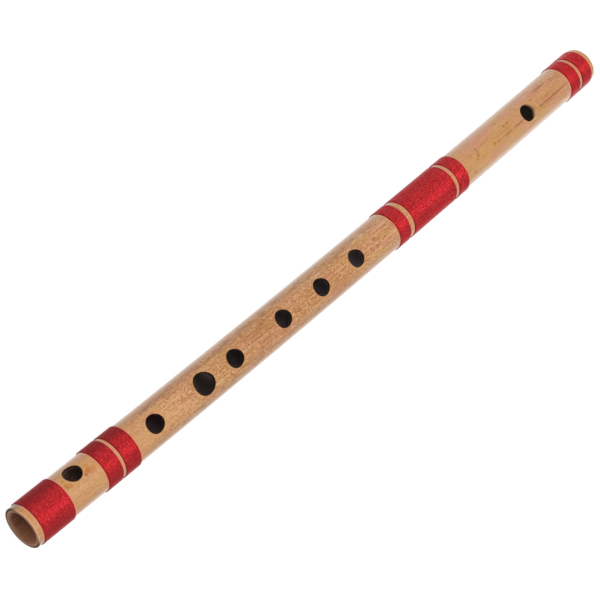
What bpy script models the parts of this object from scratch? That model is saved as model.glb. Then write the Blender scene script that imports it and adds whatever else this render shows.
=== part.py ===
"""A bansuri, the Indian bamboo side-blown flute, with its cork and its eight bindings of thread.

Metres, +Z up. The tube lies along X with its foot end at -X and its head end at +X. The blow hole and the
finger holes face straight up. The flute lies on its bindings, whose undersides are at Z = 0.
"""
import math

import bmesh
import bpy
import numpy as np
from mathutils import Vector

# The bamboo tube
LENGTH = 0.485
OUTER_RADIUS = 0.0116
WALL = 0.0022
END_ROUNDING = 0.0004
BOW = 0.0021  # how far the middle of the tube stands towards -Y from the line between its ends
TUBE_SIDES = 64
TUBE_SPANS = 10

# The holes. Their places are shares of the tube's length from the foot end, as a maker tunes them
BLOW_HOLE_SHARE = 0.857
BLOW_HOLE_LENGTH = 0.0117
BLOW_HOLE_WIDTH = 0.0103
FINGER_HOLE_SHARES = (0.1759, 0.2516, 0.3007, 0.3808, 0.4468, 0.5094)
FINGER_HOLE_WIDTH = 0.0101
LARGE_HOLE_WIDTH = 0.0124
LARGE_HOLE_NUMBER = 1  # the second finger hole from the foot
FOOT_HOLE_SHARE = 0.0697
FOOT_HOLE_WIDTH = 0.0096
FOOT_HOLE_TURN = math.radians(35.0)  # round the tube from the line of the other holes, towards +Y
BURNT_STRETCH = 1.06  # a burnt hole is this much longer along the grain than across it
HOLE_SIDES = 32

# The cork in the head end
CORK_LENGTH = 0.014
CORK_TO_BLOW_HOLE = 0.006  # from the blow hole's edge to the cork's face
CORK_ROUNDING = 0.0006
FIT_GAP = 0.0003  # between the cork and the bore

# The bindings, with their widths along the tube. They are wound by hand, so no two are quite alike
FOOT_COLLAR = 0.0034  # bare bamboo beyond the outermost binding
FOOT_WIDE_WIDTH = 0.0201
FOOT_PAIR_SHARE = 0.466  # share of the way from the foot hole to the lowest finger hole
FOOT_PAIR_GAP = 0.0024
FOOT_OUTER_WIDTH = 0.0096
FOOT_INNER_WIDTH = 0.0103
MIDDLE_SHARE = 0.406  # share of the way from the top finger hole to the blow hole
MIDDLE_WIDE_WIDTH = 0.0401
MIDDLE_NARROW_WIDTH = 0.0093
MIDDLE_FOOT_GAP = 0.0042
MIDDLE_HEAD_GAP = 0.0033
HEAD_COLLAR = 0.0040
HEAD_OUTER_WIDTH = 0.0099
HEAD_INNER_WIDTH = 0.0093
HEAD_PAIR_GAP = 0.0031

# The lay of thread in a binding: threads side by side, wound as one flat strand
LAY_THICKNESS = 0.0004
LAY_ADVANCE = 0.0029  # about how far the strand moves along the tube in one turn
PARTING = 0.00045  # between one turn and the next
LAY_END_WIDTH = 0.0005  # the strand starts and ends this narrow, which keeps the binding's edges square
SEAT_GAP = 0.0003  # between the tube and the thread
LOOP_POINTS = 24
LAY_START_ANGLE = math.radians(322.5)  # low on the +Y side; half a step from the lowest point

BORE_RADIUS = OUTER_RADIUS - WALL
LAY_INNER_RADIUS = OUTER_RADIUS + SEAT_GAP
LAY_OUTER_RADIUS = LAY_INNER_RADIUS + LAY_THICKNESS
REST_HEIGHT = LAY_OUTER_RADIUS * math.cos(math.pi / LOOP_POINTS)

BAMBOO_COLOUR = (0.60, 0.32, 0.155, 1.0)
THREAD_COLOUR = (0.48, 0.018, 0.024, 1.0)
CORK_COLOUR = (0.42, 0.25, 0.13, 1.0)


def start_collections():
    for item in list(bpy.data.objects):
        bpy.data.objects.remove(item)
    collections = []
    for name in ("bansuri", "bansuri_cutters"):
        collection = bpy.data.collections.new(name)
        bpy.context.scene.collection.children.link(collection)
        collections.append(collection)
    return collections


def make_material(name, colour, roughness):
    material = bpy.data.materials.new(name)
    material.use_nodes = True
    shader = material.node_tree.nodes["Principled BSDF"]
    shader.inputs["Base Color"].default_value = colour
    shader.inputs["Roughness"].default_value = roughness
    shader.inputs["Metallic"].default_value = 0.0
    return material


def add_object(name, mesh, collection, axis, material=None):
    item = bpy.data.objects.new(name, mesh)
    collection.objects.link(item)
    item.parent = axis
    if material:
        mesh.materials.append(material)
    return item


def x_of(share):
    """X of a place given as a share of the tube's length from the foot end."""
    return (share - 0.5) * LENGTH


def bow_at(x):
    """Sideways place of the tube's centre line: a shallow parabola that meets Y = 0 at both ends."""
    return -BOW * (1.0 - (2.0 * x / LENGTH) ** 2)


def bow_angle_at(x):
    """Direction of the centre line, as a turn about Z."""
    return math.atan(8.0 * BOW * x / LENGTH**2)


def seat_on_axis(item, x):
    """Puts an object that is modelled about X = 0 on the bowed centre line."""
    item.location = (x, bow_at(x), 0.0)
    item.rotation_euler = (item.rotation_euler.x, 0.0, bow_angle_at(x))


def tube_profile():
    """The wall's outline in the XZ plane: along the outside, round the head end and back through the bore."""
    half = LENGTH / 2.0
    stations = np.linspace(-half, half, TUBE_SPANS + 1)
    outside = [(x, OUTER_RADIUS) for x in stations]
    inside = [(x, BORE_RADIUS) for x in stations[::-1]]
    outside[0] = (-half + END_ROUNDING, OUTER_RADIUS)
    outside[-1] = (half - END_ROUNDING, OUTER_RADIUS)
    foot_edge = [(-half, OUTER_RADIUS - END_ROUNDING)]
    head_edge = [(half, OUTER_RADIUS - END_ROUNDING)]
    return foot_edge + outside + head_edge + inside


def turned_mesh(name, profile):
    """Turns a closed outline in the XZ plane about X."""
    mesh = bpy.data.meshes.new(name + "_profile")
    corners = [(x, 0.0, radius) for x, radius in profile]
    edges = [(i, (i + 1) % len(corners)) for i in range(len(corners))]
    mesh.from_pydata(corners, edges, [])
    item = bpy.data.objects.new(name + "_profile", mesh)
    bpy.context.scene.collection.objects.link(item)
    screw = item.modifiers.new("turn", "SCREW")
    screw.axis = "X"
    screw.steps = TUBE_SIDES
    screw.render_steps = TUBE_SIDES
    screw.use_smooth_shade = False
    turned = bpy.data.meshes.new_from_object(item.evaluated_get(bpy.context.evaluated_depsgraph_get()))
    turned.name = name
    bpy.data.objects.remove(item)
    return turned


def make_tube(collection, cutters, axis, material):
    mesh = turned_mesh("bamboo_tube", tube_profile())
    for corner in mesh.vertices:
        corner.co.y += bow_at(corner.co.x)
    tube = add_object("bamboo_tube", mesh, collection, axis, material)
    holes = tube.modifiers.new("holes", "BOOLEAN")
    holes.operation = "DIFFERENCE"
    holes.operand_type = "COLLECTION"
    holes.collection = cutters
    holes.solver = "EXACT"
    return tube


def make_hole_cutter(name, share, length, width, turn, cutters, axis):
    """An upright oval rod that starts on the centre line and passes through one wall."""
    height = 1.25 * OUTER_RADIUS
    form = bmesh.new()
    bmesh.ops.create_cone(
        form, cap_ends=True, segments=HOLE_SIDES, radius1=0.5, radius2=0.5, depth=height
    )
    bmesh.ops.scale(form, vec=(length, width, 1.0), verts=form.verts)
    bmesh.ops.translate(form, vec=(0.0, 0.0, height / 2.0), verts=form.verts)
    mesh = bpy.data.meshes.new(name)
    form.to_mesh(mesh)
    form.free()
    cutter = add_object(name, mesh, cutters, axis)
    cutter.rotation_euler = (-turn, 0.0, 0.0)
    seat_on_axis(cutter, x_of(share))
    cutter.hide_render = True
    cutter.display_type = "WIRE"


def make_hole_cutters(cutters, axis):
    make_hole_cutter("cut_blow_hole", BLOW_HOLE_SHARE, BLOW_HOLE_LENGTH, BLOW_HOLE_WIDTH, 0.0, cutters, axis)
    for number, share in enumerate(FINGER_HOLE_SHARES):
        width = LARGE_HOLE_WIDTH if number == LARGE_HOLE_NUMBER else FINGER_HOLE_WIDTH
        name = f"cut_finger_hole_{number + 1}"
        make_hole_cutter(name, share, width * BURNT_STRETCH, width, 0.0, cutters, axis)
    length = FOOT_HOLE_WIDTH * BURNT_STRETCH
    make_hole_cutter("cut_foot_hole", FOOT_HOLE_SHARE, length, FOOT_HOLE_WIDTH, FOOT_HOLE_TURN, cutters, axis)


def make_cork(collection, axis, material):
    form = bmesh.new()
    radius = BORE_RADIUS - FIT_GAP
    bmesh.ops.create_cone(
        form, cap_ends=True, segments=TUBE_SIDES, radius1=radius, radius2=radius, depth=CORK_LENGTH
    )
    along_x = Vector((0.0, 0.0, 1.0)).rotation_difference(Vector((1.0, 0.0, 0.0))).to_matrix()
    bmesh.ops.rotate(form, cent=(0.0, 0.0, 0.0), matrix=along_x, verts=form.verts)
    mesh = bpy.data.meshes.new("cork_stopper")
    form.to_mesh(mesh)
    form.free()
    cork = add_object("cork_stopper", mesh, collection, axis, material)
    face_x = x_of(BLOW_HOLE_SHARE) + BLOW_HOLE_LENGTH / 2.0 + CORK_TO_BLOW_HOLE
    seat_on_axis(cork, face_x + CORK_LENGTH / 2.0)
    edge = cork.modifiers.new("rounded_rims", "BEVEL")
    edge.width = CORK_ROUNDING
    edge.segments = 1
    edge.limit_method = "ANGLE"
    return cork


def strand_sections(width):
    """Left and right edge of the strand at each step along it, counted from the binding's left end.

    The strand widens over its first turn while its left edge stays on the binding's square end, then climbs
    by one advance each turn, and narrows over its last turn the same way.
    """
    inner_width = width - 2.0 * LAY_END_WIDTH - PARTING
    climbs = max(1, round(inner_width / LAY_ADVANCE))
    advance = inner_width / climbs
    total_turns = climbs + 1
    steps = np.arange(total_turns * LOOP_POINTS + 1)
    turns = steps / LOOP_POINTS

    def edge_after(turns_done):
        climbed = LAY_END_WIDTH + PARTING + advance * (turns_done - 1.0)
        return np.where(turns_done < 1.0, 0.0, climbed)

    left = edge_after(turns)
    right = width - edge_after(total_turns - turns)
    angles = LAY_START_ANGLE + 2.0 * math.pi * turns
    return left, right, angles


def point_on_turn(x, radius, angle):
    return np.stack([x, radius * np.cos(angle), radius * np.sin(angle)], axis=1)


def distances(points, starts, ends):
    """Distance from each point to each straight piece between starts and ends."""
    along = ends - starts
    reach = points[:, None, :] - starts[None, :, :]
    share = np.clip((reach * along).sum(axis=2) / (along**2).sum(axis=1), 0.0, 1.0)
    return np.linalg.norm(reach - share[:, :, None] * along, axis=2)


def least_gap(left, right, angles):
    """Least distance between the two edges of the strand where they are over half a turn apart."""
    left_points = point_on_turn(left, LAY_INNER_RADIUS, angles)
    right_points = point_on_turn(right, LAY_INNER_RADIUS, angles)
    numbers = np.arange(len(angles))
    far_apart = np.abs(numbers[:, None] - numbers[None, :-1]) > LOOP_POINTS / 2
    gaps = []
    for points, edge in ((left_points, right_points), (right_points, left_points)):
        gaps.append(distances(points, edge[:-1], edge[1:])[far_apart].min())
    return min(gaps)


def loft(name, sections):
    """One closed solid through a row of four-cornered sections."""
    count = len(sections[0])
    corners = np.stack(sections, axis=1).reshape(-1, 3)
    size = len(sections)
    faces = [tuple(reversed(range(size))), tuple(range((count - 1) * size, count * size))]
    for row in range(count - 1):
        for k in range(size):
            here, beside = row * size + k, row * size + (k + 1) % size
            faces.append((here, beside, beside + size, here + size))
    mesh = bpy.data.meshes.new(name)
    mesh.from_pydata([tuple(corner) for corner in corners], [], faces)
    return mesh


def make_binding(name, centre_x, width, collection, axis, material):
    """A binding of thread: one unbroken flat strand wound round the tube, with square ends."""
    left, right, angles = strand_sections(width)
    sections = [
        point_on_turn(left, LAY_INNER_RADIUS, angles),
        point_on_turn(right, LAY_INNER_RADIUS, angles),
        point_on_turn(right, LAY_OUTER_RADIUS, angles),
        point_on_turn(left, LAY_OUTER_RADIUS, angles),
    ]
    for corners in sections:
        corners[:, 0] -= width / 2.0
    binding = add_object(name, loft(name, sections), collection, axis, material)
    seat_on_axis(binding, centre_x)
    turns = (len(angles) - 1) / LOOP_POINTS
    gap = least_gap(left, right, angles)
    print(f"{name}: {turns:.0f} turns, least gap to itself {gap * 1000:.2f} mm")
    return binding


def binding_places():
    """Name, centre and width of each binding, from the foot to the head."""
    foot_x = x_of(0.0) + FOOT_COLLAR
    head_x = x_of(1.0) - HEAD_COLLAR
    foot_hole_x = x_of(FOOT_HOLE_SHARE)
    pair_x = foot_hole_x + FOOT_PAIR_SHARE * (x_of(FINGER_HOLE_SHARES[0]) - foot_hole_x)
    foot_outer_x = pair_x - (FOOT_PAIR_GAP + FOOT_OUTER_WIDTH) / 2.0
    foot_inner_x = pair_x + (FOOT_PAIR_GAP + FOOT_INNER_WIDTH) / 2.0
    top_hole_x = x_of(FINGER_HOLE_SHARES[-1])
    middle_x = top_hole_x + MIDDLE_SHARE * (x_of(BLOW_HOLE_SHARE) - top_hole_x)
    middle_step = (MIDDLE_WIDE_WIDTH + MIDDLE_NARROW_WIDTH) / 2.0
    head_outer_x = head_x - HEAD_OUTER_WIDTH / 2.0
    head_step = (HEAD_OUTER_WIDTH + HEAD_INNER_WIDTH) / 2.0 + HEAD_PAIR_GAP
    return [
        ("binding_foot_wide", foot_x + FOOT_WIDE_WIDTH / 2.0, FOOT_WIDE_WIDTH),
        ("binding_foot_narrow_outer", foot_outer_x, FOOT_OUTER_WIDTH),
        ("binding_foot_narrow_inner", foot_inner_x, FOOT_INNER_WIDTH),
        ("binding_middle_foot_side", middle_x - middle_step - MIDDLE_FOOT_GAP, MIDDLE_NARROW_WIDTH),
        ("binding_middle_wide", middle_x, MIDDLE_WIDE_WIDTH),
        ("binding_middle_head_side", middle_x + middle_step + MIDDLE_HEAD_GAP, MIDDLE_NARROW_WIDTH),
        ("binding_head_narrow_inner", head_outer_x - head_step, HEAD_INNER_WIDTH),
        ("binding_head_narrow_outer", head_outer_x, HEAD_OUTER_WIDTH),
    ]


def stand_on_ground(parts, axis):
    """Lifts the flute onto Z = 0 and brings the middle of its width to Y = 0."""
    bpy.context.view_layer.update()
    ready = bpy.context.evaluated_depsgraph_get()
    sideways = []
    for part in parts:
        shape = part.evaluated_get(ready)
        sideways += [(part.matrix_world @ corner.co).y for corner in shape.data.vertices]
    axis.location = (0.0, -(min(sideways) + max(sideways)) / 2.0, REST_HEIGHT)


def main():
    collection, cutters = start_collections()
    axis = bpy.data.objects.new("flute_axis", None)
    collection.objects.link(axis)
    bamboo = make_material("bamboo", BAMBOO_COLOUR, 0.35)
    thread = make_material("thread", THREAD_COLOUR, 0.5)
    cork = make_material("cork", CORK_COLOUR, 0.9)
    make_hole_cutters(cutters, axis)
    parts = [
        make_tube(collection, cutters, axis, bamboo),
        make_cork(collection, axis, cork),
    ]
    for name, centre_x, width in binding_places():
        parts.append(make_binding(name, centre_x, width, collection, axis, thread))
    stand_on_ground(parts, axis)


main()
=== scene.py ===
"""The looks of a bansuri, an Indian bamboo side-blown flute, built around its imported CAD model.

Metres, in the CAD part's frame. The tube lies along X with its foot end at -X, and its finger holes face up.
Angles round the tube are counted from straight up towards +Y.
"""
import math

import bmesh
import bpy
import numpy as np
from mathutils import Matrix, Vector


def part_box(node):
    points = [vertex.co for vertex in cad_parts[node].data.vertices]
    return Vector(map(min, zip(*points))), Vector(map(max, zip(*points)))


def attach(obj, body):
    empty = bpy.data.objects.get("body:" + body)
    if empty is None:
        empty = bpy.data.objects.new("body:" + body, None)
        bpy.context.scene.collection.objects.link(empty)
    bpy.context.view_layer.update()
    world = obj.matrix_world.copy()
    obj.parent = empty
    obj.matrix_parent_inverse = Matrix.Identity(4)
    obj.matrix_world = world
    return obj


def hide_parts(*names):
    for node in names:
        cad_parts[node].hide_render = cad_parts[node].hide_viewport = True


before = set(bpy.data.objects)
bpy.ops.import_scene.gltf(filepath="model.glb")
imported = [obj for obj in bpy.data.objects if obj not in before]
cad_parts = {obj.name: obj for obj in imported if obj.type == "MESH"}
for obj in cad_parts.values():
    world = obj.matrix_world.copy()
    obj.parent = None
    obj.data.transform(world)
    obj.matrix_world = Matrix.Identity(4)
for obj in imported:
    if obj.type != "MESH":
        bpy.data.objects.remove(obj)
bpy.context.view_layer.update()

tube_low, tube_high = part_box("bamboo_tube")

# The bamboo tube, with the sizes of the CAD source
OUTER_RADIUS = 0.0116
BORE_RADIUS = 0.0094
BOW = 0.0021  # how far its middle stands towards -Y from the line between its ends
LENGTH = tube_high.x - tube_low.x
AXIS_END_Y = tube_high.y - OUTER_RADIUS
AXIS_Z = (tube_low.z + tube_high.z) / 2.0
END_ROUNDING = 0.0004
BORE_ROUNDING = 0.00025
TUBE_SIDES = 72
STATION_STEP = 0.004  # along the tube between the holes
BEND_STEPS = 4  # in every rounded edge

# The holes: share of the length from the foot end, length along the grain, width, and turn round the tube
HOLES = (
    (0.8570, 0.01170, 0.01030, 0.0),
    (0.1759, 0.01071, 0.01010, 0.0),
    (0.2516, 0.01314, 0.01240, 0.0),
    (0.3007, 0.01071, 0.01010, 0.0),
    (0.3808, 0.01071, 0.01010, 0.0),
    (0.4468, 0.01071, 0.01010, 0.0),
    (0.5094, 0.01071, 0.01010, 0.0),
    (0.0697, 0.01018, 0.00960, math.radians(35.0)),
)
RIM_ROUNDING = 0.00025
INNER_RIM_ROUNDING = 0.00020
SQUARE_HALF = 0.008  # half the side of the square of surface that carries a hole
SQUARE_HALF_TURN = math.radians(40.0)
SQUARE_STEPS = 16
RING_STEPS = 8

# The bindings
BINDINGS = (
    "binding_foot_wide",
    "binding_foot_narrow_outer",
    "binding_foot_narrow_inner",
    "binding_middle_foot_side",
    "binding_middle_wide",
    "binding_middle_head_side",
    "binding_head_narrow_inner",
    "binding_head_narrow_outer",
)
THREAD_RADIUS = 0.00020
THREAD_SIDES = 8
THREAD_STEPS = 72  # in each turn
UNDERLAY_RADIUS = 0.01184
UNDERLAY_INSET = 0.0001
THREAD_SPREAD = 0.0005  # how much further the wound thread reaches towards the head than the CAD's flat strand

# The camera, fitted to the photograph: its place is counted from the middle of the line between the tube's ends
CAMERA_PLACE = Vector((-0.593661, 0.068065, 0.805840))
CAMERA_RIGHT = Vector((0.632022, -0.600352, 0.490025))
CAMERA_UP = Vector((0.526413, 0.796648, 0.297056))
CAMERA_LENS = 109.13
CAMERA_SENSOR = 36.0


def axis_y(x):
    """Sideways place of the bowed centre line: a parabola that meets AXIS_END_Y at both ends."""
    return AXIS_END_Y - BOW * (1.0 - (2.0 * x / LENGTH) ** 2)


def axis_turn(x):
    """Direction of the centre line, as a turn about Z."""
    return math.atan(8.0 * BOW * x / LENGTH**2)


def round_tube(x, angle, radius):
    """Points at x, at that angle round the centre line and that far from it."""
    x, angle, radius = np.broadcast_arrays(x, angle, radius)
    y = axis_y(x) + radius * np.sin(angle)
    z = AXIS_Z + radius * np.cos(angle)
    return np.stack([x, y, z], axis=-1)


def quads_of(rows, columns, closed=True):
    """Corners of the quads between the points of a grid; a closed grid's last column meets its first."""
    row = np.arange(rows - 1)[:, None]
    column = np.arange(columns if closed else columns - 1)[None, :]
    beside = (column + 1) % columns
    corners = [row * columns + column, row * columns + beside]
    corners += [(row + 1) * columns + beside, (row + 1) * columns + column]
    return np.stack(corners, axis=-1)


def add_piece(name, patches, material):
    """One smooth piece of several patches, each a grid of points and its quads, joined where their points meet."""
    points, quads, count = [], [], 0
    for patch_points, patch_quads in patches:
        points.append(patch_points.reshape(-1, 3))
        quads.append(patch_quads.reshape(-1, 4) + count)
        count += len(points[-1])
    used, corners = np.unique(np.concatenate(quads), return_inverse=True)
    mesh = bpy.data.meshes.new(name)
    mesh.from_pydata(np.concatenate(points)[used], [], corners.reshape(-1, 4))
    form = bmesh.new()
    form.from_mesh(mesh)
    bmesh.ops.remove_doubles(form, verts=form.verts, dist=1e-6)
    bmesh.ops.recalc_face_normals(form, faces=form.faces)
    form.to_mesh(mesh)
    form.free()
    mesh.shade_smooth()
    mesh.materials.append(material)
    piece = bpy.data.objects.new(name, mesh)
    bpy.context.scene.collection.objects.link(piece)
    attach(piece, "root")
    return piece


def places_of(mesh):
    """The mesh's points as one array."""
    places = np.empty(len(mesh.vertices) * 3)
    mesh.vertices.foreach_get("co", places)
    return places.reshape(-1, 3)


def mark_points(mesh, name, values):
    """Keeps one number for each point of the mesh, for its material."""
    attribute = mesh.attributes.new(name, "FLOAT", "POINT")
    attribute.data.foreach_set("value", values.astype(np.float32))


# The bamboo tube


def tube_stations():
    """Places along the tube where its grid has a row: close together over the holes, further apart between."""
    starts = [hole_x(share) - SQUARE_HALF for share, *_ in HOLES]
    ends = [hole_x(share) + SQUARE_HALF for share, *_ in HOLES]
    edges = [-LENGTH / 2.0 + END_ROUNDING, *sorted(starts + ends), LENGTH / 2.0 - END_ROUNDING]
    pieces = []
    for number, (start, end) in enumerate(zip(edges[:-1], edges[1:])):
        over_hole = number % 2 == 1
        steps = SQUARE_STEPS if over_hole else math.ceil((end - start) / STATION_STEP)
        pieces.append(np.linspace(start, end, steps + 1)[:-1])
    return np.concatenate([*pieces, [edges[-1]]])


def hole_x(share):
    """X of a hole given as a share of the tube's length from the foot end."""
    return (share - 0.5) * LENGTH


def tube_side(radius, x_range):
    """The tube's outside or bore: a cylinder on the bowed line, open where the squares with the holes go."""
    stations = tube_stations()
    stations[0], stations[-1] = x_range
    angles = np.arange(TUBE_SIDES) * 2.0 * math.pi / TUBE_SIDES
    points = round_tube(stations[:, None], angles[None, :], radius)
    quads = quads_of(len(stations), TUBE_SIDES)
    middle_x = (stations[1:] + stations[:-1]) / 2.0
    middle_angle = angles + math.pi / TUBE_SIDES
    keep = np.ones((len(middle_x), len(middle_angle)), bool)
    for share, _, _, turn in HOLES:
        near_x = np.abs(middle_x - hole_x(share)) < SQUARE_HALF
        off = (middle_angle - turn + math.pi) % (2.0 * math.pi) - math.pi
        near_angle = np.abs(off) < SQUARE_HALF_TURN
        keep &= ~(near_x[:, None] & near_angle[None, :])
    return points, quads[keep]


def hole_patch(share, length, width, turn):
    """A hole with the square of surface round it, outside and in the bore.

    One closed grid. Its columns go round the hole. Its rows run from the square's edge in to the oval rim,
    over the rim's rounding, down the straight wall, and out again over the bore to the same square.
    Each point is blended between the square and the oval: the oval is the upright rod with the hole's
    length and width where it meets a cylinder of that row's radius.
    """
    side = SQUARE_STEPS // 2
    ramp = np.arange(SQUARE_STEPS) / side
    ones = np.ones(SQUARE_STEPS)
    square_x = np.concatenate([ones, 1.0 - ramp, -ones, ramp - 1.0])
    square_turn = np.concatenate([ramp - 1.0, ones, 1.0 - ramp, -ones])
    way = np.arctan2(square_turn, square_x)

    bend = np.linspace(0.0, math.pi / 2.0, BEND_STEPS + 1)
    outward = np.linspace(0.0, 1.0, RING_STEPS + 1)[1:] ** 1.5
    wall = OUTER_RADIUS - BORE_RADIUS
    down = np.linspace(RIM_ROUNDING, wall - INNER_RIM_ROUNDING, 5)[1:-1]
    share_of_square = np.concatenate([outward[::-1], 0 * bend, 0 * down, 0 * bend, outward])
    growth = np.concatenate([
        RIM_ROUNDING + 0 * outward,
        RIM_ROUNDING * (1.0 - np.sin(bend)),
        0 * down,
        INNER_RIM_ROUNDING * (1.0 - np.cos(bend)),
        INNER_RIM_ROUNDING + 0 * outward,
    ])
    depth = np.concatenate([
        0 * outward,
        RIM_ROUNDING * (1.0 - np.cos(bend)),
        down,
        wall - INNER_RIM_ROUNDING * (1.0 - np.sin(bend)),
        wall + 0 * outward,
    ])
    radius = OUTER_RADIUS - depth[:, None]
    growth, blend = growth[:, None], share_of_square[:, None]
    oval_x = (length / 2.0 + growth) * np.cos(way)
    oval_turn = np.arcsin((width / 2.0 + growth) * np.sin(way) / radius)
    x = hole_x(share) + (1.0 - blend) * oval_x + blend * SQUARE_HALF * square_x
    angle = turn + (1.0 - blend) * oval_turn + blend * SQUARE_HALF_TURN * square_turn
    return round_tube(x, angle, radius), quads_of(len(depth), len(way))


def tube_end(side):
    """The foot end (side -1) or head end (side 1): a ring with a rounded outer edge, flat face and eased bore."""
    bend = np.linspace(0.0, math.pi / 2.0, BEND_STEPS + 1)
    face = np.linspace(OUTER_RADIUS - END_ROUNDING, BORE_RADIUS + BORE_ROUNDING, 5)[1:-1]
    back = np.concatenate([
        END_ROUNDING * (1.0 - np.sin(bend)),
        0 * face,
        BORE_ROUNDING * (1.0 - np.cos(bend)),
    ])
    radius = np.concatenate([
        OUTER_RADIUS - END_ROUNDING * (1.0 - np.cos(bend)),
        face,
        BORE_RADIUS + BORE_ROUNDING * (1.0 - np.sin(bend)),
    ])
    x = side * (LENGTH / 2.0 - back)
    angles = np.arange(TUBE_SIDES) * 2.0 * math.pi / TUBE_SIDES
    points = round_tube(x[:, None], angles[None, :], radius[:, None])
    return points, quads_of(len(x), TUBE_SIDES)


def distance_from_holes(places):
    """How far each point lies outside the nearest hole's oval, measured across the hole's opening."""
    nearest = np.full(len(places), 1.0)
    across = places[:, 1] - axis_y(places[:, 0])
    up = places[:, 2] - AXIS_Z
    for share, length, width, turn in HOLES:
        off_x = places[:, 0] - hole_x(share)
        off_side = across * math.cos(turn) - up * math.sin(turn)
        height = across * math.sin(turn) + up * math.cos(turn)
        reach = np.hypot(off_x / (length / 2.0), off_side / (width / 2.0))
        distance = (reach - 1.0) * (length + width) / 4.0
        nearest = np.where(height > 0.0, np.minimum(nearest, distance), nearest)
    return nearest


def make_tube(skin, inside):
    """The bamboo: skin outside, and another finish on what was cut, which is the ends, bore and hole walls."""
    half = LENGTH / 2.0
    outside = tube_side(OUTER_RADIUS, (-half + END_ROUNDING, half - END_ROUNDING))
    bore = tube_side(BORE_RADIUS, (-half + BORE_ROUNDING, half - BORE_ROUNDING))
    holes = [hole_patch(*hole) for hole in HOLES]
    patches = [outside, bore, *holes, tube_end(-1.0), tube_end(1.0)]
    tube = add_piece("bamboo_body", patches, skin)
    tube.data.materials.append(inside)
    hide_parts("bamboo_tube")
    places = places_of(tube.data)
    distance = distance_from_holes(places)
    radius = np.hypot(places[:, 1] - axis_y(places[:, 0]), places[:, 2] - AXIS_Z)
    mark_points(tube.data, "hole_distance", distance)
    corners = np.empty(len(tube.data.loops), int)
    tube.data.loops.foreach_get("vertex_index", corners)
    lowest = radius[corners].reshape(-1, 4).min(axis=1)
    cut = lowest < OUTER_RADIUS - 1e-5
    tube.data.polygons.foreach_set("material_index", cut.astype(int))
    return tube


# The cork


def make_cork(material):
    """A cork turned about the tube's line: a profile from the middle of one face over its rim to the other."""
    low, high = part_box("cork_stopper")
    radius, rounding = (high.z - low.z) / 2.0, 0.0006
    middle, half = (low.x + high.x) / 2.0, (high.x - low.x) / 2.0
    bend = np.linspace(0.0, math.pi / 2.0, BEND_STEPS + 1)
    flat = np.linspace(0.0, radius - rounding, 9)[:-1]
    rim_radius = radius - rounding * (1.0 - np.sin(bend))
    rim_back = rounding * (1.0 - np.cos(bend))
    out = np.concatenate([flat, rim_radius])
    back = np.concatenate([0 * flat, rim_back])
    profile_radius = np.concatenate([out, out[::-1]])
    profile_x = np.concatenate([middle - half + back, (middle + half - back)[::-1]])
    angles = np.arange(TUBE_SIDES) * 2.0 * math.pi / TUBE_SIDES
    points = round_tube(profile_x[:, None], angles[None, :], profile_radius[:, None])
    cork = add_piece("head_cork", [(points, quads_of(len(profile_x), TUBE_SIDES))], material)
    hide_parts("cork_stopper")
    return cork


# The bindings


def seat(points, centre_x):
    """Turns points that lie about X = 0 and the line Y = Z = 0 onto the bowed line at centre_x."""
    turn = axis_turn(centre_x)
    x, y, z = np.moveaxis(points, -1, 0)
    seated_x = centre_x + x * math.cos(turn) - y * math.sin(turn)
    seated_y = axis_y(centre_x) + x * math.sin(turn) + y * math.cos(turn)
    return np.stack([seated_x, seated_y, z + AXIS_Z], axis=-1)


def wound_thread(width, outer_radius):
    """One thread wound round and round: a circle carried along a helix, with both ends closed.

    Its middle line is at outer_radius less the thread's own radius, and climbs by one thread in each turn.
    A slow ripple shifts the turns by a few hundredths of a millimetre, as a hand winds them.
    """
    turns = round(width / (2.0 * THREAD_RADIUS))
    turn = np.arange(turns * THREAD_STEPS + 1) / THREAD_STEPS
    climb = THREAD_RADIUS + (width - 2.0 * THREAD_RADIUS) * turn / turns
    ripple = 0.000012 * (np.sin(2.7 * turn) + np.sin(1.13 * turn + 1.0))
    angle = 2.0 * math.pi * turn + 2.0
    round_section = np.arange(THREAD_SIDES) * 2.0 * math.pi / THREAD_SIDES
    x = (climb + ripple - width / 2.0)[:, None] + THREAD_RADIUS * np.sin(round_section)
    radius = outer_radius - THREAD_RADIUS + THREAD_RADIUS * np.cos(round_section)[None, :]
    angle = angle[:, None]
    points = np.stack(np.broadcast_arrays(x, radius * np.sin(angle), radius * np.cos(angle)), axis=-1)
    quads = quads_of(len(turn), THREAD_SIDES).reshape(-1, 4)
    cap = np.array([(0, 1, 2, 7), (7, 2, 3, 6), (6, 3, 4, 5)])
    return points, np.concatenate([quads, cap, cap + len(turn) * THREAD_SIDES - THREAD_SIDES])


def underlay(width):
    """The first layer of thread, seen only at the binding's ends: a sleeve with a closed oblong section."""
    half = width / 2.0 - UNDERLAY_INSET
    inner = OUTER_RADIUS + 0.00001
    middle = (inner + UNDERLAY_RADIUS) / 2.0
    x = np.array([-half, -half, -half + 0.00008, half - 0.00008, half, half, 0.0])
    radius = np.array([inner, middle, UNDERLAY_RADIUS, UNDERLAY_RADIUS, middle, inner, inner])
    x, radius = np.append(x, x[0]), np.append(radius, radius[0])
    angle = np.arange(THREAD_STEPS)[None, :] * 2.0 * math.pi / THREAD_STEPS
    x, radius = x[:, None], radius[:, None]
    points = np.stack(np.broadcast_arrays(x, radius * np.sin(angle), radius * np.cos(angle)), axis=-1)
    return points, quads_of(len(x), THREAD_STEPS)


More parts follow.
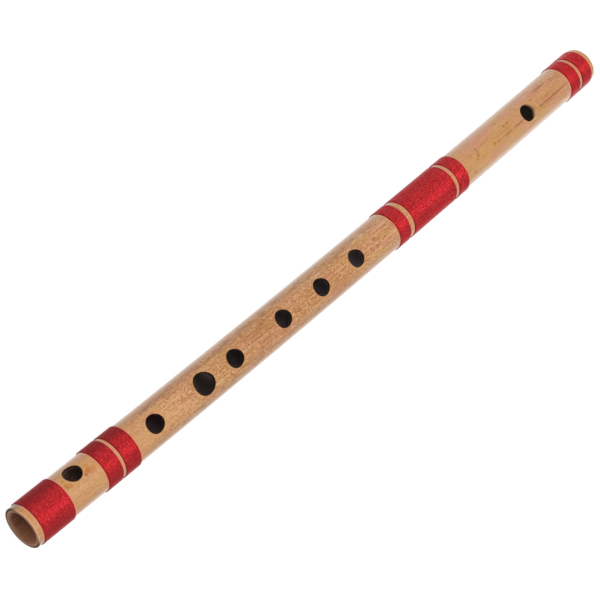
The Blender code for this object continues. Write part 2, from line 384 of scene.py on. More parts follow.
def make_binding(node, material):
    low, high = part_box(node)
    centre_x = (low.x + high.x + THREAD_SPREAD) / 2.0
    lean = 2.0 * (AXIS_Z - low.z) * abs(math.sin(axis_turn(centre_x)))
    width = high.x - low.x - lean + THREAD_SPREAD
    patches = []
    for points, quads in (wound_thread(width, AXIS_Z - low.z), underlay(width)):
        patches.append((seat(points, centre_x), quads))
    binding = add_piece(node.replace("binding", "thread"), patches, material)
    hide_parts(node)
    places, turn = places_of(binding.data), axis_turn(centre_x)
    along = (places[:, 0] - centre_x) * math.cos(turn) + (places[:, 1] - axis_y(centre_x)) * math.sin(turn)
    mark_points(binding.data, "to_edge", width / 2.0 - np.abs(along))
    return binding


# Materials


class Recipe:
    """A material's nodes, with short calls that each add one node and give its output."""

    def __init__(self, name):
        self.material = bpy.data.materials.new(name)
        self.material.use_nodes = True
        self.nodes = self.material.node_tree.nodes
        self.shader = self.nodes["Principled BSDF"]
        self.place = self.nodes.new("ShaderNodeTexCoord").outputs["Object"]

    def join(self, socket, value):
        """Sets an input to a value, or links it if the value is another node's output."""
        if isinstance(value, bpy.types.NodeSocket):
            self.material.node_tree.links.new(socket, value)
        else:
            socket.default_value = value

    def math(self, operation, first, second=0.0, third=0.0):
        node = self.nodes.new("ShaderNodeMath")
        node.operation = operation
        for socket, value in zip(node.inputs, (first, second, third)):
            self.join(socket, value)
        return node.outputs[0]

    def together(self, x, y, z):
        node = self.nodes.new("ShaderNodeCombineXYZ")
        for socket, value in zip(node.inputs, (x, y, z)):
            self.join(socket, value)
        return node.outputs[0]

    def length(self, vector):
        node = self.nodes.new("ShaderNodeVectorMath")
        node.operation = "LENGTH"
        self.join(node.inputs[0], vector)
        return node.outputs["Value"]

    def direction(self, vector):
        """The vector's direction, with length 1."""
        node = self.nodes.new("ShaderNodeVectorMath")
        node.operation = "NORMALIZE"
        self.join(node.inputs[0], vector)
        return node.outputs["Vector"]

    def parts(self, vector):
        node = self.nodes.new("ShaderNodeSeparateXYZ")
        self.join(node.inputs[0], vector)
        return node.outputs

    def stretched(self, vector, scale, offset=(0.0, 0.0, 0.0)):
        node = self.nodes.new("ShaderNodeMapping")
        self.join(node.inputs["Vector"], vector)
        self.join(node.inputs["Scale"], scale)
        self.join(node.inputs["Location"], offset)
        return node.outputs[0]

    def rescaled(self, vector, scale, offset):
        """The vector times the scale plus the offset. It takes less of the shader's memory than a Mapping node."""
        node = self.nodes.new("ShaderNodeVectorMath")
        node.operation = "MULTIPLY_ADD"
        for socket, value in zip(node.inputs, (vector, scale, offset)):
            self.join(socket, value)
        return node.outputs["Vector"]

    def noise(self, vector, detail=2.0, roughness=0.5, distortion=0.0):
        node = self.nodes.new("ShaderNodeTexNoise")
        self.join(node.inputs["Vector"], vector)
        self.join(node.inputs["Scale"], 1.0)
        self.join(node.inputs["Detail"], detail)
        self.join(node.inputs["Roughness"], roughness)
        self.join(node.inputs["Distortion"], distortion)
        return node.outputs[0]

    def ease(self, value, start, end, low=0.0, high=1.0):
        """Goes smoothly from low to high while value goes from start to end."""
        node = self.nodes.new("ShaderNodeMapRange")
        node.interpolation_type = "SMOOTHSTEP"
        for name, number in (("Value", value), ("From Min", start), ("From Max", end)):
            self.join(node.inputs[name], number)
        self.join(node.inputs["To Min"], low)
        self.join(node.inputs["To Max"], high)
        return node.outputs[0]

    def mix(self, amount, first, second, blend="MIX"):
        node = self.nodes.new("ShaderNodeMix")
        node.data_type = "RGBA"
        node.blend_type = blend
        self.join(node.inputs["Factor"], amount)
        self.join(node.inputs[6], first)
        self.join(node.inputs[7], second)
        return node.outputs[2]

    def kept(self, name):
        """A number kept for each point of the piece."""
        node = self.nodes.new("ShaderNodeAttribute")
        node.attribute_name = name
        return node.outputs["Fac"]

    def edge_on(self, start, end, most, normal=None):
        """A sheen's strength: grows to most as the surface, or one with the normal, turns edge-on, which is 1."""
        node = self.nodes.new("ShaderNodeLayerWeight")
        if normal:
            self.join(node.inputs["Normal"], normal)
        return self.ease(node.outputs["Facing"], start, end, 0.0, most)

    def bump(self, height, distance, strength=1.0):
        node = self.nodes.new("ShaderNodeBump")
        self.join(node.inputs["Height"], height)
        self.join(node.inputs["Distance"], distance)
        self.join(node.inputs["Strength"], strength)
        self.join(self.shader.inputs["Normal"], node.outputs[0])

    def finish(self, colour, roughness, **constants):
        """Colour and roughness of the surface, and the shader's other values, set on its own sockets."""
        self.join(self.shader.inputs["Base Color"], colour)
        self.join(self.shader.inputs["Roughness"], roughness)
        for name, value in constants.items():
            self.join(self.shader.inputs[name.replace("_", " ")], value)
        return self.material


def across_and_up(recipe):
    """Where a point is from the bowed centre line, sideways and upwards."""
    x, y, z = recipe.parts(recipe.place)
    bow = recipe.math("MULTIPLY", recipe.math("MULTIPLY", x, x), 4.0 * BOW / LENGTH**2)
    across = recipe.math("SUBTRACT", recipe.math("SUBTRACT", y, AXIS_END_Y - BOW), bow)
    return across, recipe.math("SUBTRACT", z, AXIS_Z)


def from_line(recipe):
    """The direction straight out from the centre line, which is the normal of a smooth tube."""
    across, up = across_and_up(recipe)
    return recipe.direction(recipe.together(0.0, across, up))


def round_the_tube(recipe):
    """How far a point is from the centre line, and the way round to it from straight up towards +Y, in metres."""
    across, up = across_and_up(recipe)
    angle = recipe.math("ARCTAN2", across, up)
    return recipe.length(recipe.together(0.0, across, up)), recipe.math("MULTIPLY", angle, OUTER_RADIUS)


def marks(recipe, places, soft=0.35):
    """Ovals on the unrolled skin, blurred at the edge: place along, way round, half length, half width, depth."""
    x, _, _ = recipe.parts(recipe.place)
    _, way = round_the_tube(recipe)
    flat = recipe.together(x, way, 0.0)
    ragged = recipe.noise(recipe.stretched(recipe.place, (500.0, 1100.0, 1100.0)), detail=2.0)
    total = 0.0
    for along, round_way, half_length, half_width, depth in places:
        scale = (1.0 / half_length, 1.0 / half_width, 0.0)
        offset = (-along / half_length, -round_way / half_width, 0.0)
        reach = recipe.length(recipe.rescaled(flat, scale, offset))
        reach = recipe.math("ADD", reach, recipe.math("MULTIPLY", ragged, 1.2))
        total = recipe.math("MAXIMUM", total, recipe.ease(reach, 1.6 - soft, 1.6 + soft, depth, 0.0))
    return total


def from_thread(recipe):
    """How far along the tube a point is from the nearest edge of a binding."""
    x, _, _ = recipe.parts(recipe.place)
    nearest = LENGTH
    for name in BINDINGS:
        low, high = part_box(name)
        middle, half = (low.x + high.x + THREAD_SPREAD) / 2.0, (high.x - low.x + THREAD_SPREAD) / 2.0
        from_middle = recipe.math("ABSOLUTE", recipe.math("SUBTRACT", x, middle))
        distance = recipe.math("ABSOLUTE", recipe.math("SUBTRACT", from_middle, half))
        nearest = recipe.math("MINIMUM", nearest, distance)
    return nearest


BAMBOO_TAN = (0.381, 0.181, 0.061, 1.0)
BAMBOO_GOLD = (0.385, 0.196, 0.050, 1.0)
BAMBOO_PINK = (0.405, 0.166, 0.082, 1.0)
BAMBOO_SHEEN_PALE = (0.640, 0.480, 0.340, 1.0)
BAMBOO_STREAK_SHADE = (0.170, 0.062, 0.008, 1.0)
BAMBOO_ROSE_BROWN = (0.350, 0.145, 0.045, 1.0)
BAMBOO_FOOT_LIGHTER = (0.480, 0.236, 0.092, 1.0)
BAMBOO_FLECK = (0.235, 0.074, 0.005, 1.0)
BAMBOO_STRAW = (0.560, 0.360, 0.190, 1.0)
BAMBOO_THREAD_REFLECTION = (0.530, 0.175, 0.085, 1.0)
BAMBOO_SIDE_SHADE = (0.340, 0.152, 0.038, 1.0)
STAIN = (0.430, 0.190, 0.030, 1.0)
SCORCH = (0.370, 0.105, 0.008, 1.0)
CHAR = (0.026, 0.014, 0.010, 1.0)
BURNT_BROWN_AND_SHADE = (0.080, 0.030, 0.012, 1.0)

# Marks on the skin: metres along from the middle, the way round, half length, half width, depth
GRAIN_LINES = (
    (0.2000, -0.00205, 0.0160, 0.00055, 0.95),
    (0.1852, -0.00195, 0.0012, 0.00080, 0.90),
    (0.1945, 0.00785, 0.0070, 0.00085, 0.80),
    (0.2065, 0.00685, 0.0018, 0.00070, 0.50),
    (0.1815, 0.00485, 0.0014, 0.00070, 0.60),
    (0.1620, -0.00175, 0.0050, 0.00060, 0.85),
    (0.1505, -0.00165, 0.0045, 0.00050, 0.75),
    (0.1365, -0.00105, 0.0012, 0.00080, 0.75),
    (0.1405, -0.00165, 0.0020, 0.00060, 0.55),
    (0.1508, 0.00345, 0.0012, 0.00070, 0.75),
    (0.1545, 0.00335, 0.0014, 0.00070, 0.70),
    (0.1480, 0.00845, 0.0014, 0.00110, 0.60),
    (0.1330, 0.00925, 0.0014, 0.00080, 0.45),
    (0.1220, 0.00295, 0.0006, 0.00200, 0.75),
    (0.1205, -0.00015, 0.0012, 0.00120, 0.60),
    (0.1185, -0.00165, 0.0010, 0.00060, 0.65),
    (0.1240, -0.00245, 0.0010, 0.00060, 0.50),
    (0.1130, -0.00705, 0.0010, 0.00120, 0.70),
    (0.1150, 0.00245, 0.0014, 0.00060, 0.35),
    (0.0220, -0.00235, 0.0012, 0.00080, 0.70),
    (0.0215, 0.00215, 0.0014, 0.00070, 0.65),
    (0.0240, 0.00005, 0.0014, 0.00070, 0.50),
    (0.0310, 0.00445, 0.0070, 0.00040, 0.50),
    (-0.0045, 0.00845, 0.0020, 0.00090, 0.55),
    (-0.0140, 0.01045, 0.0020, 0.00080, 0.45),
    (-0.0380, 0.01025, 0.0022, 0.00110, 0.60),
    (-0.0650, 0.00925, 0.0030, 0.00090, 0.55),
    (-0.0750, 0.01025, 0.0050, 0.00110, 0.55),
    (-0.0920, 0.01025, 0.0040, 0.00090, 0.50),
    (-0.1040, 0.00885, 0.0090, 0.00060, 0.50),
    (-0.1440, 0.00995, 0.0060, 0.00060, 0.65),
    (0.1960, 0.00085, 0.0100, 0.00050, 0.35),
    (0.1480, 0.00085, 0.0090, 0.00050, 0.35),
    (0.1300, 0.00345, 0.0060, 0.00050, 0.30),
    (0.1800, -0.00060, 0.0014, 0.00140, 0.40),
    (-0.0740, -0.00240, 0.0060, 0.00080, 0.50),
    (-0.0720, 0.00055, 0.0120, 0.00050, 0.70),
    (-0.0700, 0.00190, 0.0070, 0.00045, 0.50),
    (-0.0720, 0.00325, 0.0080, 0.00055, 0.55),
    (-0.0750, 0.00465, 0.0070, 0.00045, 0.60),
    (-0.0680, 0.00600, 0.0090, 0.00055, 0.65),
    (-0.0780, -0.00460, 0.0080, 0.00050, 0.35),
    (-0.0470, -0.00200, 0.0045, 0.00050, 0.40),
    (-0.0460, -0.00030, 0.0050, 0.00050, 0.40),
    (-0.0150, 0.00010, 0.0040, 0.00070, 0.45),
    (-0.0460, 0.00500, 0.0010, 0.00090, 0.45),
    (-0.0640, 0.01030, 0.0020, 0.00120, 0.50),
    (-0.0420, 0.00930, 0.0025, 0.00080, 0.45),
    (-0.2405, -0.00700, 0.0030, 0.00035, 0.45),
    (-0.2405, -0.00450, 0.0030, 0.00030, 0.30),
    (-0.2405, -0.00100, 0.0030, 0.00035, 0.40),
    (-0.2405, 0.00350, 0.0030, 0.00035, 0.45),
    (-0.2405, 0.00850, 0.0030, 0.00040, 0.50),
    (-0.2042, 0.00200, 0.0007, 0.00110, 0.80),
    (-0.2162, 0.00240, 0.0009, 0.00070, 0.55),
    (-0.2164, 0.00370, 0.0012, 0.00110, 0.45),
    (-0.2091, 0.00125, 0.0006, 0.00040, 0.35),
    (-0.2075, 0.00110, 0.0005, 0.00050, 0.35),
    (-0.0830, -0.01080, 0.0120, 0.00160, 0.30),
    (-0.0790, -0.00720, 0.0090, 0.00090, 0.30),
)
STAINS = (
    (-0.2020, 0.00500, 0.0020, 0.00160, 0.75),
    (-0.1975, 0.00260, 0.0020, 0.00140, 0.85),
    (-0.2163, 0.00370, 0.0016, 0.00150, 1.00),
    (-0.2150, 0.00520, 0.0016, 0.00160, 0.40),
    (-0.2025, 0.01060, 0.0014, 0.00120, 0.60),
    (-0.2100, -0.00750, 0.0016, 0.00120, 0.50),
    (-0.1996, -0.00880, 0.0012, 0.00140, 0.60),
    (-0.2405, 0.00600, 0.0030, 0.00550, 0.60),
    (-0.1515, 0.00465, 0.0016, 0.00090, 0.55),
    (-0.0155, -0.00025, 0.0030, 0.00090, 0.55),
    (-0.0035, 0.00165, 0.0014, 0.00120, 0.45),
)
SCORCHES = (
    (-0.2024, 0.00285, 0.0014, 0.00110, 1.00),
    (-0.2016, 0.00365, 0.0010, 0.00100, 0.85),
    (-0.2008, 0.00240, 0.0025, 0.00170, 0.60),
    (-0.2010, 0.00580, 0.0012, 0.00090, 0.45),
    (-0.2143, 0.00230, 0.0013, 0.00140, 0.65),
    (-0.2114, 0.00030, 0.0015, 0.00070, 0.40),
    (-0.2159, 0.00690, 0.0009, 0.00100, 0.55),
    (-0.2120, -0.00830, 0.0012, 0.00100, 0.30),
    (-0.2055, -0.00930, 0.0010, 0.00100, 0.35),
)


def bamboo_skin():
    """Cured skin: gold and pink tints, fine grain, brown flecks that gather mid-flute, single marks and burnt rims,
    with painted shade on the flanks, a painted sheen and a painted reflection of the thread.
    """
    recipe = Recipe("cured_bamboo_skin")
    place = recipe.place
    tint = recipe.noise(recipe.stretched(place, (45.0, 160.0, 160.0)), detail=2.0)
    colour = recipe.mix(recipe.ease(tint, 0.40, 0.60), BAMBOO_PINK, BAMBOO_GOLD)
    wash = recipe.noise(recipe.stretched(place, (90.0, 380.0, 380.0), (3.0, 1.0, 2.0)), detail=3.0)
    colour = recipe.mix(recipe.ease(wash, 0.40, 0.62, 0.0, 0.6), colour, BAMBOO_TAN)
    x, _, _ = recipe.parts(place)
    _, way = round_the_tube(recipe)
    # The foot end is made a lighter, warmer tone.
    colour = recipe.mix(recipe.ease(x, -0.120, -0.140, 0.0, 0.45), colour, BAMBOO_FOOT_LIGHTER)
    browned = recipe.math("MULTIPLY", recipe.ease(x, -0.130, -0.095), recipe.ease(x, 0.015, -0.005))
    colour = recipe.mix(recipe.math("MULTIPLY", browned, 0.5), colour, BAMBOO_ROSE_BROWN)
    mid_flute = recipe.math("MULTIPLY", recipe.ease(x, -0.175, -0.120, 0.0, 1.25), recipe.ease(x, 0.120, 0.045))
    clouds = recipe.noise(recipe.stretched(place, (40.0, 200.0, 200.0), (7.0, 0.0, 3.0)), detail=1.0)
    fleckiness = recipe.math("ADD", mid_flute, recipe.ease(x, 0.150, 0.190, 0.45, 1.00))
    fleckiness = recipe.math("ADD", fleckiness, recipe.ease(x, -0.050, -0.080, 0.0, 0.25))
    strength = recipe.math("MULTIPLY", fleckiness, recipe.ease(clouds, 0.35, 0.65, 0.5, 0.8))
    flecks = recipe.noise(recipe.stretched(place, (700.0, 1250.0, 1250.0), (0.0, 5.0, 1.0)), 3.0, 0.7, 0.3)
    dark_flecks = recipe.math("MULTIPLY", recipe.ease(flecks, 0.48, 0.67, 0.0, 1.0), strength)
    pale_flecks = recipe.math("MULTIPLY", recipe.ease(flecks, 0.48, 0.32, 0.0, 0.55), strength)
    colour = recipe.mix(dark_flecks, colour, BAMBOO_FLECK)
    colour = recipe.mix(pale_flecks, colour, BAMBOO_STRAW)
    streaks = recipe.noise(recipe.stretched(place, (45.0, 850.0, 850.0), (2.0, 3.0, 1.0)), 3.0, 0.6, 0.3)
    dark_streaks = recipe.math("MULTIPLY", recipe.ease(streaks, 0.52, 0.72, 0.0, 0.60), strength)
    pale_streaks = recipe.math("MULTIPLY", recipe.ease(streaks, 0.48, 0.30, 0.0, 0.35), strength)
    colour = recipe.mix(dark_streaks, colour, BAMBOO_FLECK)
    colour = recipe.mix(pale_streaks, colour, BAMBOO_STRAW)
    # Painted shade: the flanks are darkened in patches, the +Y flank most towards the foot and the -Y flank over the
    # foot half.
    side_shade = recipe.math("MULTIPLY", recipe.ease(way, 0.0065, 0.0105), recipe.ease(way, 0.0190, 0.0125))
    side_shade = recipe.math("MULTIPLY", side_shade, recipe.ease(x, -0.020, 0.190, 1.0, 0.1))
    shaded = recipe.math("MULTIPLY", recipe.ease(way, -0.0070, -0.0105, 0.0, 1.4), recipe.ease(x, 0.040, -0.020))
    side_shade = recipe.math("MAXIMUM", side_shade, shaded)
    side_shade = recipe.math("MULTIPLY", side_shade, recipe.ease(clouds, 0.30, 0.70, 0.25, 0.65))
    colour = recipe.mix(side_shade, colour, BAMBOO_SIDE_SHADE)
    aside = recipe.math("ABSOLUTE", way)
    # Painted shade: rose brown on both flanks over the foot end, more on the +Y side.
    foot_flank_shade = recipe.math("MULTIPLY", recipe.ease(aside, 0.007, 0.011), recipe.ease(x, -0.115, -0.135))
    foot_flank_shade = recipe.math("MULTIPLY", foot_flank_shade, recipe.ease(way, -0.004, 0.004, 0.3, 0.5))
    colour = recipe.mix(foot_flank_shade, colour, BAMBOO_ROSE_BROWN)
    # Dark streaks on both flanks, mostly between the foot bindings and the middle, which also darken the flanks as
    # painted shade.
    flank_streaks = recipe.noise(recipe.stretched(place, (130.0, 650.0, 650.0), (1.0, 6.0, 2.0)), 3.0, 0.6)
    flank_streaks = recipe.math("MAXIMUM", recipe.ease(flank_streaks, 0.48, 0.66, 0.0, 0.75), recipe.ease(flecks, 0.50, 0.64))
    streaked_flank_shade = recipe.math("MULTIPLY", recipe.ease(aside, 0.0070, 0.0095), recipe.ease(aside, 0.0140, 0.0120))
    streaked_flank_shade = recipe.math("MULTIPLY", streaked_flank_shade, recipe.ease(x, 0.050, 0.000, 0.25, 1.0))
    streaked_flank_shade = recipe.math("MULTIPLY", streaked_flank_shade, recipe.ease(x, -0.175, -0.155, 0.15, 1.0))
    colour = recipe.mix(recipe.math("MULTIPLY", streaked_flank_shade, flank_streaks), colour, BAMBOO_STREAK_SHADE)
    # Painted sheen: the -Y flank is paler towards the head.
    painted_sheen_side = recipe.math("MULTIPLY", recipe.ease(way, -0.0085, -0.0120), recipe.ease(x, 0.020, 0.200, 0.0, 0.40))
    colour = recipe.mix(painted_sheen_side, colour, BAMBOO_SHEEN_PALE)
    colour = recipe.mix(marks(recipe, STAINS, 0.6), colour, STAIN)
    colour = recipe.mix(marks(recipe, SCORCHES, 0.5), colour, SCORCH)
    colour = recipe.mix(marks(recipe, GRAIN_LINES), colour, BAMBOO_FLECK)
    # Painted reflection: pink from the red thread on the bamboo beside each binding.
    colour = recipe.mix(recipe.ease(from_thread(recipe), 0.0001, 0.0013, 0.9, 0.0), colour, BAMBOO_THREAD_REFLECTION)
    # Painted shade: the flanks of the strip at the foot end are darkened, more on the +Y side.
    foot_end_flank_shade = recipe.math("MULTIPLY", recipe.ease(aside, 0.0090, 0.0140), recipe.ease(way, -0.004, 0.004, 0.35, 0.70))
    foot_end_flank_shade = recipe.math("MULTIPLY", foot_end_flank_shade, recipe.ease(x, -0.2360, -0.2380))
    colour = recipe.mix(foot_end_flank_shade, colour, BURNT_BROWN_AND_SHADE)
    near = recipe.kept("hole_distance")
    colour = recipe.mix(recipe.ease(near, 0.0000, 0.0003, 0.8, 0.0), colour, BURNT_BROWN_AND_SHADE)
    fibre = recipe.noise(recipe.stretched(place, (40.0, 1800.0, 1800.0)), detail=2.0)
    recipe.bump(fibre, 0.00004, 0.5)
    roughness = recipe.ease(fibre, 0.3, 0.7, 0.50, 0.62)
    return recipe.finish(colour, roughness, Specular_IOR_Level=0.4, Sheen_Weight=1.0, Sheen_Roughness=0.38)


END_DARK = (0.190, 0.085, 0.040, 1.0)
END_RIM_HIGHLIGHT = (0.345, 0.190, 0.118, 1.0)
END_EDGE_LOWER = (0.050, 0.028, 0.020, 1.0)
BORE_LIT = (0.640, 0.370, 0.250, 1.0)
BORE_BROWN = (0.420, 0.190, 0.100, 1.0)
BORE_SHADE_SIDE = (0.240, 0.110, 0.060, 1.0)
BORE_DEEP = (0.330, 0.225, 0.185, 1.0)
BORE_DUSTY = (0.290, 0.215, 0.210, 1.0)
BORE_SHADED = (0.190, 0.140, 0.130, 1.0)
BORE_GREY = (0.370, 0.320, 0.310, 1.0)
BORE_PALE = (0.640, 0.590, 0.600, 1.0)
BORE_STREAK = (0.560, 0.320, 0.210, 1.0)
END_EDGE_HIGHLIGHT = (0.600, 0.330, 0.190, 1.0)
END_DARKER_SIDE = (0.100, 0.036, 0.013, 1.0)
BORE_BREATHED = (0.090, 0.180, 0.260, 1.0)
WALL_BROWN = (0.450, 0.250, 0.130, 1.0)


def cut_bamboo():
    """What the saw and the hot rod left: dark rings at the ends, a brown bore, and burnt black hole walls, with painted
    light and shade in the bore and painted highlights on the ends.
    """
    recipe = Recipe("cut_bamboo")
    place = recipe.place
    out, way = round_the_tube(recipe)
    x, y, _ = recipe.parts(place)
    to_end = recipe.math("SUBTRACT", LENGTH / 2.0, recipe.math("ABSOLUTE", x))
    streaks = recipe.noise(recipe.stretched(place, (70.0, 900.0, 900.0)), detail=3.0)
    # Painted shade: the bore is darker on its +Y side.
    bore = recipe.mix(recipe.ease(y, -0.001, 0.006), BORE_BROWN, BORE_SHADE_SIDE)
    lit = recipe.math("MULTIPLY", recipe.ease(to_end, 0.0025, 0.0005, 0.0, 0.5), recipe.ease(y, -0.004, 0.003))
    bore = recipe.mix(lit, bore, BORE_LIT)
    bore = recipe.mix(recipe.ease(to_end, 0.012, 0.045), bore, BORE_DEEP)
    bore = recipe.mix(recipe.ease(x, -0.175, -0.155), bore, BORE_DUSTY)
    bore = recipe.mix(recipe.ease(x, -0.128, -0.112), bore, BORE_SHADED)
    bore = recipe.mix(recipe.ease(x, -0.094, -0.084), bore, BORE_GREY)
    bore = recipe.mix(recipe.ease(x, 0.000, 0.018), bore, BORE_PALE)
    breathed = recipe.math("MULTIPLY", recipe.ease(x, 0.130, 0.160), recipe.ease(x, 0.200, 0.190))
    bore = recipe.mix(breathed, bore, BORE_BREATHED)
    bore = recipe.mix(recipe.ease(x, 0.195, 0.210), bore, BORE_BROWN)
    light_streaks = recipe.math("MULTIPLY", recipe.ease(streaks, 0.52, 0.70, 0.0, 0.5), recipe.ease(to_end, 0.03, 0.01))
    bore = recipe.mix(light_streaks, bore, BORE_STREAK)
    # Painted highlight: the end faces are paler next to the bore.
    ring = recipe.mix(recipe.ease(out, BORE_RADIUS + 0.0004, BORE_RADIUS + 0.0012), END_RIM_HIGHLIGHT, END_DARK)
    speckle = recipe.noise(recipe.stretched(place, (1500.0, 1500.0, 1500.0)), detail=2.0)
    ring = recipe.mix(recipe.ease(speckle, 0.45, 0.70, 0.0, 0.5), ring, END_DARK)
    # The end faces are darker on their +Y side.
    darker_end_side = recipe.math("MULTIPLY", recipe.ease(way, 0.0010, 0.0050, 0.0, 0.35), recipe.ease(way, 0.0165, 0.0125))
    ring = recipe.mix(darker_end_side, ring, END_DARKER_SIDE)
    colour = recipe.mix(recipe.ease(to_end, 0.0003, 0.0008), ring, bore)
    near = recipe.kept("hole_distance")
    wall = recipe.ease(out, BORE_RADIUS + 0.0001, BORE_RADIUS + 0.0004)
    wall = recipe.math("MULTIPLY", wall, recipe.ease(near, 0.0020, 0.0010))
    charred = recipe.mix(recipe.ease(x, 0.1760, 0.1778), CHAR, WALL_BROWN)
    colour = recipe.mix(wall, colour, charred)
    rim = recipe.math("MULTIPLY", recipe.ease(near, 0.00004, 0.00016), recipe.ease(to_end, 0.001, 0.002))
    rim = recipe.math("MULTIPLY", rim, recipe.ease(out, OUTER_RADIUS - 0.0003, OUTER_RADIUS - 0.0001))
    colour = recipe.mix(rim, colour, BAMBOO_TAN)
    # Painted highlight along the top of the ends' outer edge, turning dark brown round the sides and underneath.
    edge = recipe.math("MULTIPLY", recipe.ease(to_end, 0.002, 0.001), recipe.ease(out, OUTER_RADIUS - 0.0012, OUTER_RADIUS - 0.0005))
    edge_tone = recipe.mix(recipe.ease(recipe.math("ABSOLUTE", way), 0.0080, 0.0160), END_EDGE_HIGHLIGHT, END_EDGE_LOWER)
    colour = recipe.mix(edge, colour, edge_tone)
    recipe.bump(streaks, 0.0001, 0.5)
    roughness = recipe.ease(streaks, 0.3, 0.7, 0.75, 0.90)
    return recipe.finish(colour, roughness, Specular_IOR_Level=0.15)


THREAD_RED = (0.48, 0.020, 0.026, 1.0)
THREAD_DEEP = (0.32, 0.005, 0.007, 1.0)
THREAD_BRIGHT = (0.78, 0.072, 0.080, 1.0)
THREAD_LIT_RED = (0.70, 0.035, 0.045, 1.0)
THREAD_END_SHADE_AND_GLUE = (0.20, 0.008, 0.010, 1.0)
THREAD_FLANK_SHADE = (0.22, 0.005, 0.008, 1.0)


def thread_material():
    """Red silk: turns that differ a little, a mottled sheen, ends darkened by glue and painted shade, painted shade on
    the flanks and at the head, and brighter foot bindings as painted light.
    """
    recipe = Recipe("red_silk_thread")
    turns = recipe.noise(recipe.stretched(recipe.place, (1600.0, 120.0, 120.0)), detail=2.0)
    colour = recipe.mix(recipe.ease(turns, 0.35, 0.65, 0.35, 1.0), THREAD_DEEP, THREAD_RED)
    mottle = recipe.noise(recipe.stretched(recipe.place, (1150.0, 1150.0, 1150.0), (2.0, 0.0, 4.0)), 2.0, 0.6)
    x, _, _ = recipe.parts(recipe.place)
    unevenness = recipe.ease(x, -0.170, 0.030, 0.78, 0.80)
    bright = recipe.math("MULTIPLY", recipe.ease(mottle, 0.49, 0.70, 0.0, 0.75), unevenness)
    deep = recipe.math("MULTIPLY", recipe.ease(mottle, 0.52, 0.30, 0.0, 1.25), unevenness)
    colour = recipe.mix(bright, colour, THREAD_BRIGHT)
    colour = recipe.mix(deep, colour, THREAD_DEEP)
    _, way = round_the_tube(recipe)
    # Painted light: the foot bindings are made a brighter red.
    colour = recipe.mix(recipe.ease(x, -0.150, -0.220, 0.0, 0.20), colour, THREAD_LIT_RED)
    # Painted shade: the flanks of the bindings from the foot to past the middle are darkened, most at the foot and more
    # on the +Y side.
    thread_flank_shade = recipe.math("MULTIPLY", recipe.ease(x, -0.150, -0.175, 0.3, 1.0), recipe.ease(x, 0.200, 0.100))
    thread_flank_shade = recipe.math("MULTIPLY", thread_flank_shade, recipe.ease(recipe.math("ABSOLUTE", way), 0.004, 0.011))
    thread_flank_shade = recipe.math("MULTIPLY", thread_flank_shade, recipe.ease(way, -0.004, 0.004, 0.65, 0.90))
    colour = recipe.mix(thread_flank_shade, colour, THREAD_FLANK_SHADE)
    # Painted shade: the head bindings are darker.
    colour = recipe.mix(recipe.ease(x, 0.130, 0.200, 0.0, 0.3), colour, THREAD_DEEP)
    # Glue and painted shade: the ends of each binding are darkened.
    colour = recipe.mix(recipe.ease(recipe.kept("to_edge"), 0.0001, 0.0009, 0.8, 0.0), colour, THREAD_END_SHADE_AND_GLUE)
    sheen = recipe.math("MULTIPLY", recipe.edge_on(0.42, 0.92, 1.0, from_line(recipe)), recipe.ease(x, -0.05, 0.25, 0.35, 1.0))
    sheen = recipe.math("MAXIMUM", sheen, 0.12)
    fibres = recipe.noise(recipe.stretched(recipe.place, (4000.0, 3000.0, 3000.0)))
    recipe.bump(fibres, 0.00002, 0.4)
    roughness = recipe.ease(mottle, 0.3, 0.7, 0.30, 0.46)
    red_gloss = (1.0, 0.2, 0.2, 1.0)
    recipe.finish(colour, roughness, Metallic=0.6, IOR=1.1, Specular_Tint=red_gloss)
    return recipe.finish(colour, roughness, Sheen_Weight=sheen, Sheen_Roughness=0.5)


def cork_material():
    recipe = Recipe("natural_cork")
    grains = recipe.noise(recipe.stretched(recipe.place, (700.0, 700.0, 700.0)), detail=4.0, roughness=0.7)
    pits = recipe.noise(recipe.stretched(recipe.place, (500.0, 900.0, 900.0), (4.0, 0.0, 0.0)), detail=2.0)
    colour = recipe.mix(recipe.ease(grains, 0.35, 0.7), (0.34, 0.19, 0.09, 1.0), (0.52, 0.33, 0.18, 1.0))
    colour = recipe.mix(recipe.ease(pits, 0.62, 0.72), colour, (0.09, 0.045, 0.02, 1.0))
    recipe.bump(grains, 0.0002, 0.6)
    return recipe.finish(colour, 0.9)


# The studio

SWEEP_REACH = 7.0
SWEEP_FLAT = 4.0
SWEEP_RISE = 0.25
SWEEP_STEPS = 48
SWEEP_GLOW = 0.95
SWEEP_GREY = (0.05, 0.05, 0.05, 1.0)

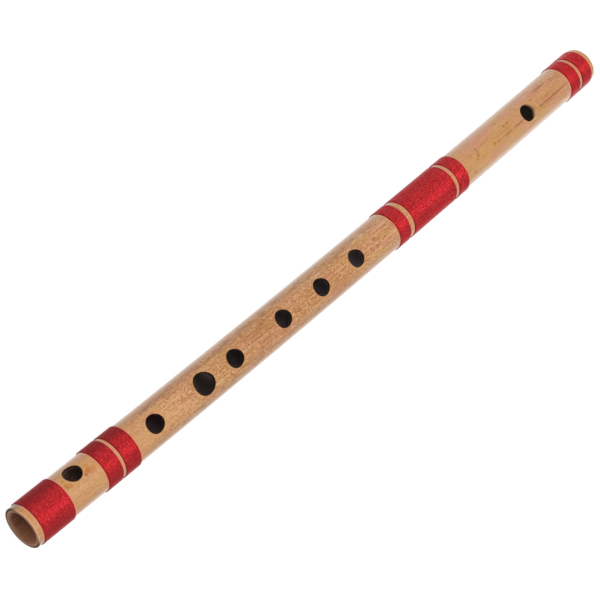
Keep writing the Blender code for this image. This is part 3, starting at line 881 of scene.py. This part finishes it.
def make_sweep():
    """A white floor whose far edges rise in a smooth curve, glowing as a lit table does, so no shadow shows.

    Its height is nothing within SWEEP_FLAT of the middle, and from there grows with the square of the way out.
    """
    side = np.linspace(-SWEEP_REACH, SWEEP_REACH, SWEEP_STEPS + 1)
    x, y = np.meshgrid(side, side, indexing="ij")
    beyond = np.maximum(np.hypot(x, y) - SWEEP_FLAT, 0.0)
    points = np.stack([x, y, SWEEP_RISE * beyond**2], axis=-1)
    quads = quads_of(len(side), len(side), closed=False)
    mesh = bpy.data.meshes.new("studio_sweep")
    mesh.from_pydata(points.reshape(-1, 3), [], quads.reshape(-1, 4)[:, ::-1])
    mesh.shade_smooth()
    recipe = Recipe("white_sweep")
    recipe.finish(SWEEP_GREY, 0.8, Emission_Color=(1.0, 1.0, 1.0, 1.0), Emission_Strength=SWEEP_GLOW)
    mesh.materials.append(recipe.material)
    sweep = bpy.data.objects.new("studio_sweep", mesh)
    bpy.context.scene.collection.objects.link(sweep)


def add_soft_light(name, place, size, power):
    """A square soft box that faces the flute's middle."""
    light = bpy.data.lights.new(name, "AREA")
    light.size = size
    light.energy = power
    item = bpy.data.objects.new(name, light)
    bpy.context.scene.collection.objects.link(item)
    toward = Vector((0.0, 0.0, AXIS_Z)) - Vector(place)
    item.matrix_world = Matrix.Translation(place) @ toward.to_track_quat("-Z", "Y").to_matrix().to_4x4()


def make_surround():
    world = bpy.data.worlds.new("white_surround")
    world.use_nodes = True
    backdrop = world.node_tree.nodes["Background"]
    backdrop.inputs["Color"].default_value = (1.0, 1.0, 1.0, 1.0)
    backdrop.inputs["Strength"].default_value = 0.30
    bpy.context.scene.world = world
    bpy.context.scene.view_settings.view_transform = "Standard"


def make_camera():
    data = bpy.data.cameras.new("photograph_view")
    data.lens = CAMERA_LENS
    data.sensor_width = CAMERA_SENSOR
    data.clip_start, data.clip_end = 0.01, 50.0
    camera = bpy.data.objects.new("photograph_view", data)
    bpy.context.scene.collection.objects.link(camera)
    back = CAMERA_RIGHT.cross(CAMERA_UP)
    turn = Matrix((CAMERA_RIGHT, CAMERA_UP, back)).transposed().to_4x4()
    place = CAMERA_PLACE + Vector((0.0, AXIS_END_Y, AXIS_Z))
    camera.matrix_world = Matrix.Translation(place) @ turn
    bpy.context.scene.camera = camera


make_tube(bamboo_skin(), cut_bamboo())
make_cork(cork_material())
thread = thread_material()
for binding_name in BINDINGS:
    make_binding(binding_name, thread)
make_sweep()
make_surround()
add_soft_light("key_soft_box", (0.05, -0.44, 1.35), 0.80, 15.5)
add_soft_light("top_soft_box", (-0.10, 0.30, 1.50), 1.4, 7.5)
add_soft_light("fill_soft_box", (0.50, 0.75, 0.80), 0.8, 3.0)
make_camera()
